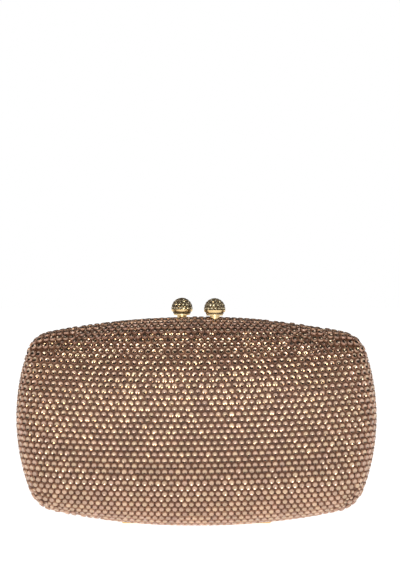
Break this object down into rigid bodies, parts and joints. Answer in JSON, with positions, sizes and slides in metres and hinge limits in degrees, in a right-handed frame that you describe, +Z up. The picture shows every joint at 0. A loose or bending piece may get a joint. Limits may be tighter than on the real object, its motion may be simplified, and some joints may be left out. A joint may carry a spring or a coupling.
{
  "type": "evening bag",
  "caption": "Crystal-covered hard-case clutch: two domed halves on a bottom hinge, with a sprung two-knob clasp on the top edge and a lined inside with a slip pocket.",
  "frame": {"origin": "middle of the footprint, on the plane that the bag stands on", "axes": "+Z up, front towards -Y, +X to the right seen from the front"},
  "size_m": [0.1838, 0.0478, 0.1163],
  "materials": {
    "crystal_pave": "foiled faceted crystals set close on resin",
    "knob_pave": "small foiled faceted crystals",
    "pressed_shell": "pressed brass shell, lacquered champagne brown",
    "gilt_frame": "polished pale gold plate",
    "gilt_fittings": "polished pale gold plate",
    "steel_spring": "drawn spring wire",
    "kid_lining": "metallic champagne kid, fine grain"
  },
  "bodies": {
    "back_half": {"back_crystals": "crystal_pave", "back_shell": "pressed_shell", "back_frame": "gilt_frame", "chain_lugs": "gilt_fittings", "clasp_guide": "gilt_fittings", "clasp_guide_screws": "gilt_fittings", "clasp_spring": "steel_spring", "hinge_back_leaf": "gilt_fittings", "hinge_back_rivets": "gilt_fittings", "hinge_pin": "gilt_fittings", "back_lining": "kid_lining", "slip_pocket": "kid_lining"},
    "front_half": {"front_crystals": "crystal_pave", "front_shell": "pressed_shell", "front_frame": "gilt_frame", "front_lining": "kid_lining", "front_knob": "gilt_fittings", "front_knob_crystals": "knob_pave", "front_knob_nut": "gilt_fittings", "clasp_striker": "gilt_fittings", "clasp_striker_screws": "gilt_fittings", "hinge_front_leaf": "gilt_fittings", "hinge_front_rivets": "gilt_fittings"},
    "clasp_slide": {"clasp_slider": "gilt_fittings", "back_knob": "gilt_fittings", "back_knob_crystals": "knob_pave", "back_knob_screw": "gilt_fittings"}
  },
  "joints": [
    {"name": "case_hinge", "type": "hinge", "parent": "back_half", "child": "front_half", "pos_m": [0, 0, 0.00115], "axis": [1, 0, 0], "range_deg": [0, 60]},
    {"name": "clasp_knob", "type": "slide", "parent": "back_half", "child": "clasp_slide", "axis": [1, 0, 0], "range_m": [0, 0.003], "stiffness_N_per_m": 600, "springref_m": -0.002, "deforming": ["clasp_spring"]}
  ]
}
